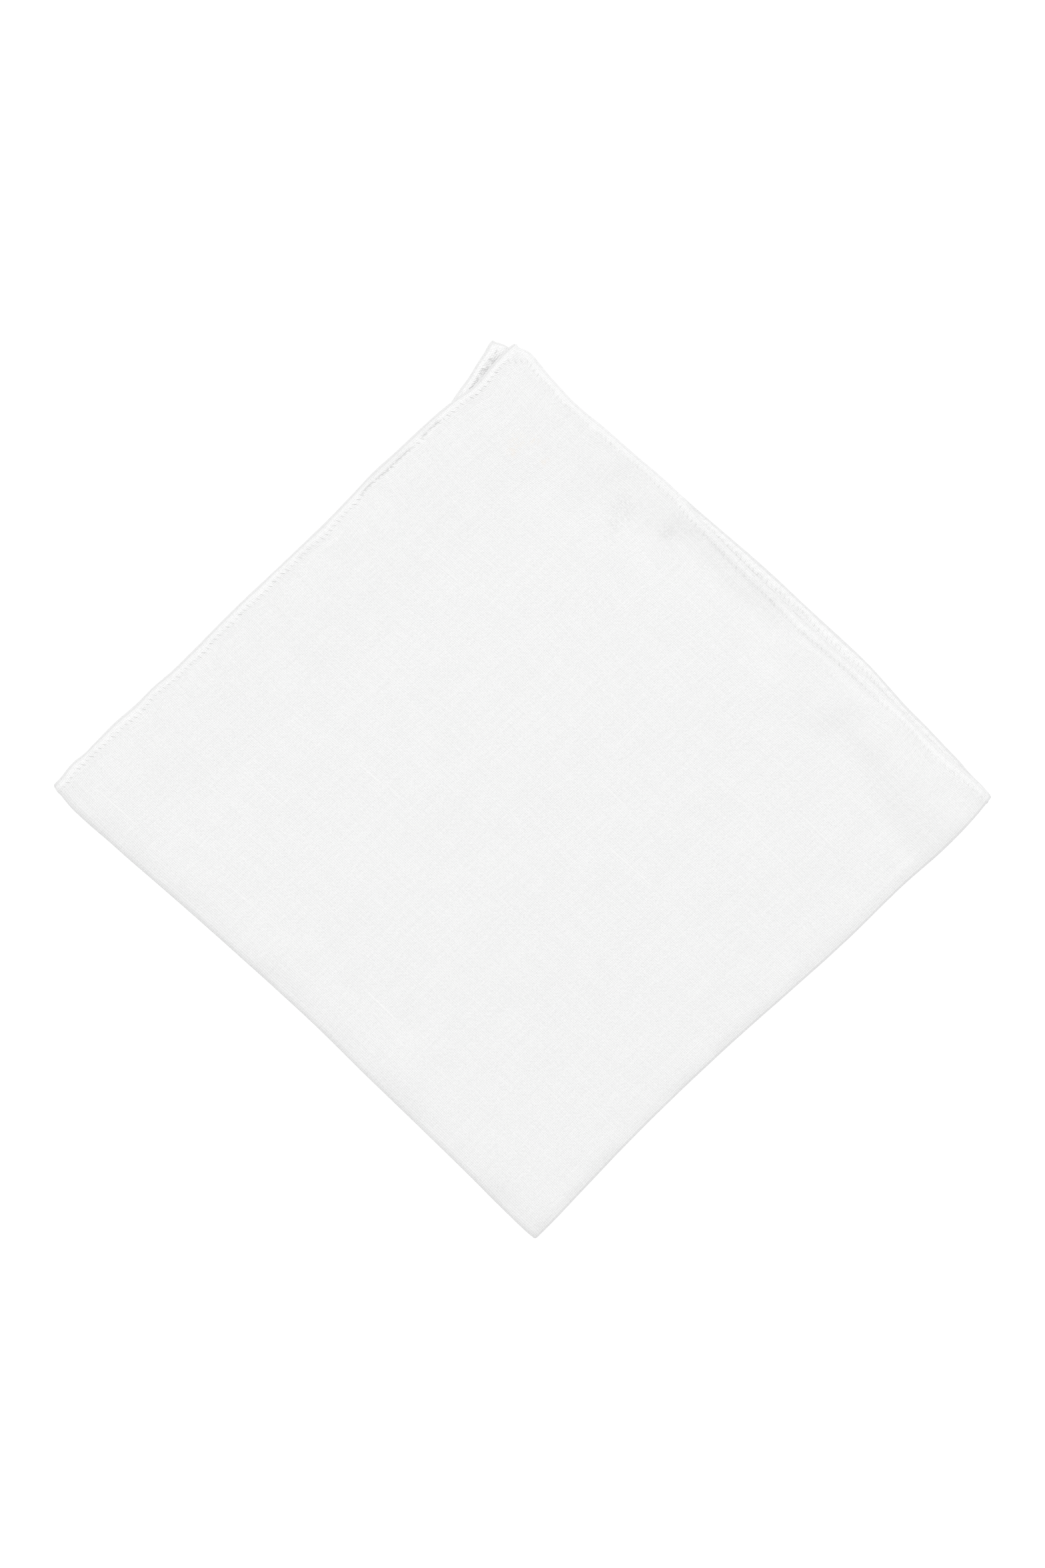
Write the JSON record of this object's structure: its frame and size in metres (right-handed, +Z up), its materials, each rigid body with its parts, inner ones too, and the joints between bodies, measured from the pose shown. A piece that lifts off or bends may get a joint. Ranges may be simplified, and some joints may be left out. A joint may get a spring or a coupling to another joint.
{
  "type": "folded pocket square",
  "caption": "White linen pocket square with rolled hems, folded in half and in half again, lying flat with its loose corners together.",
  "frame": {"origin": "centre of the bounding box at the underside of the lowest layer, on the surface that it lies on", "axes": "+Z up out of the pile, +Y from the folded centre of the cloth towards the four loose corners, +X to the right, from the corner where the second fold meets the hem to the corner where the first fold meets it"},
  "size_m": [0.2392, 0.2286, 0.008],
  "materials": {
    "linen": "matt plain-weave white linen with slubs and a softly pressed hand"
  },
  "bodies": {
    "root": {"folded_cloth": "linen"}
  },
  "joints": []
}
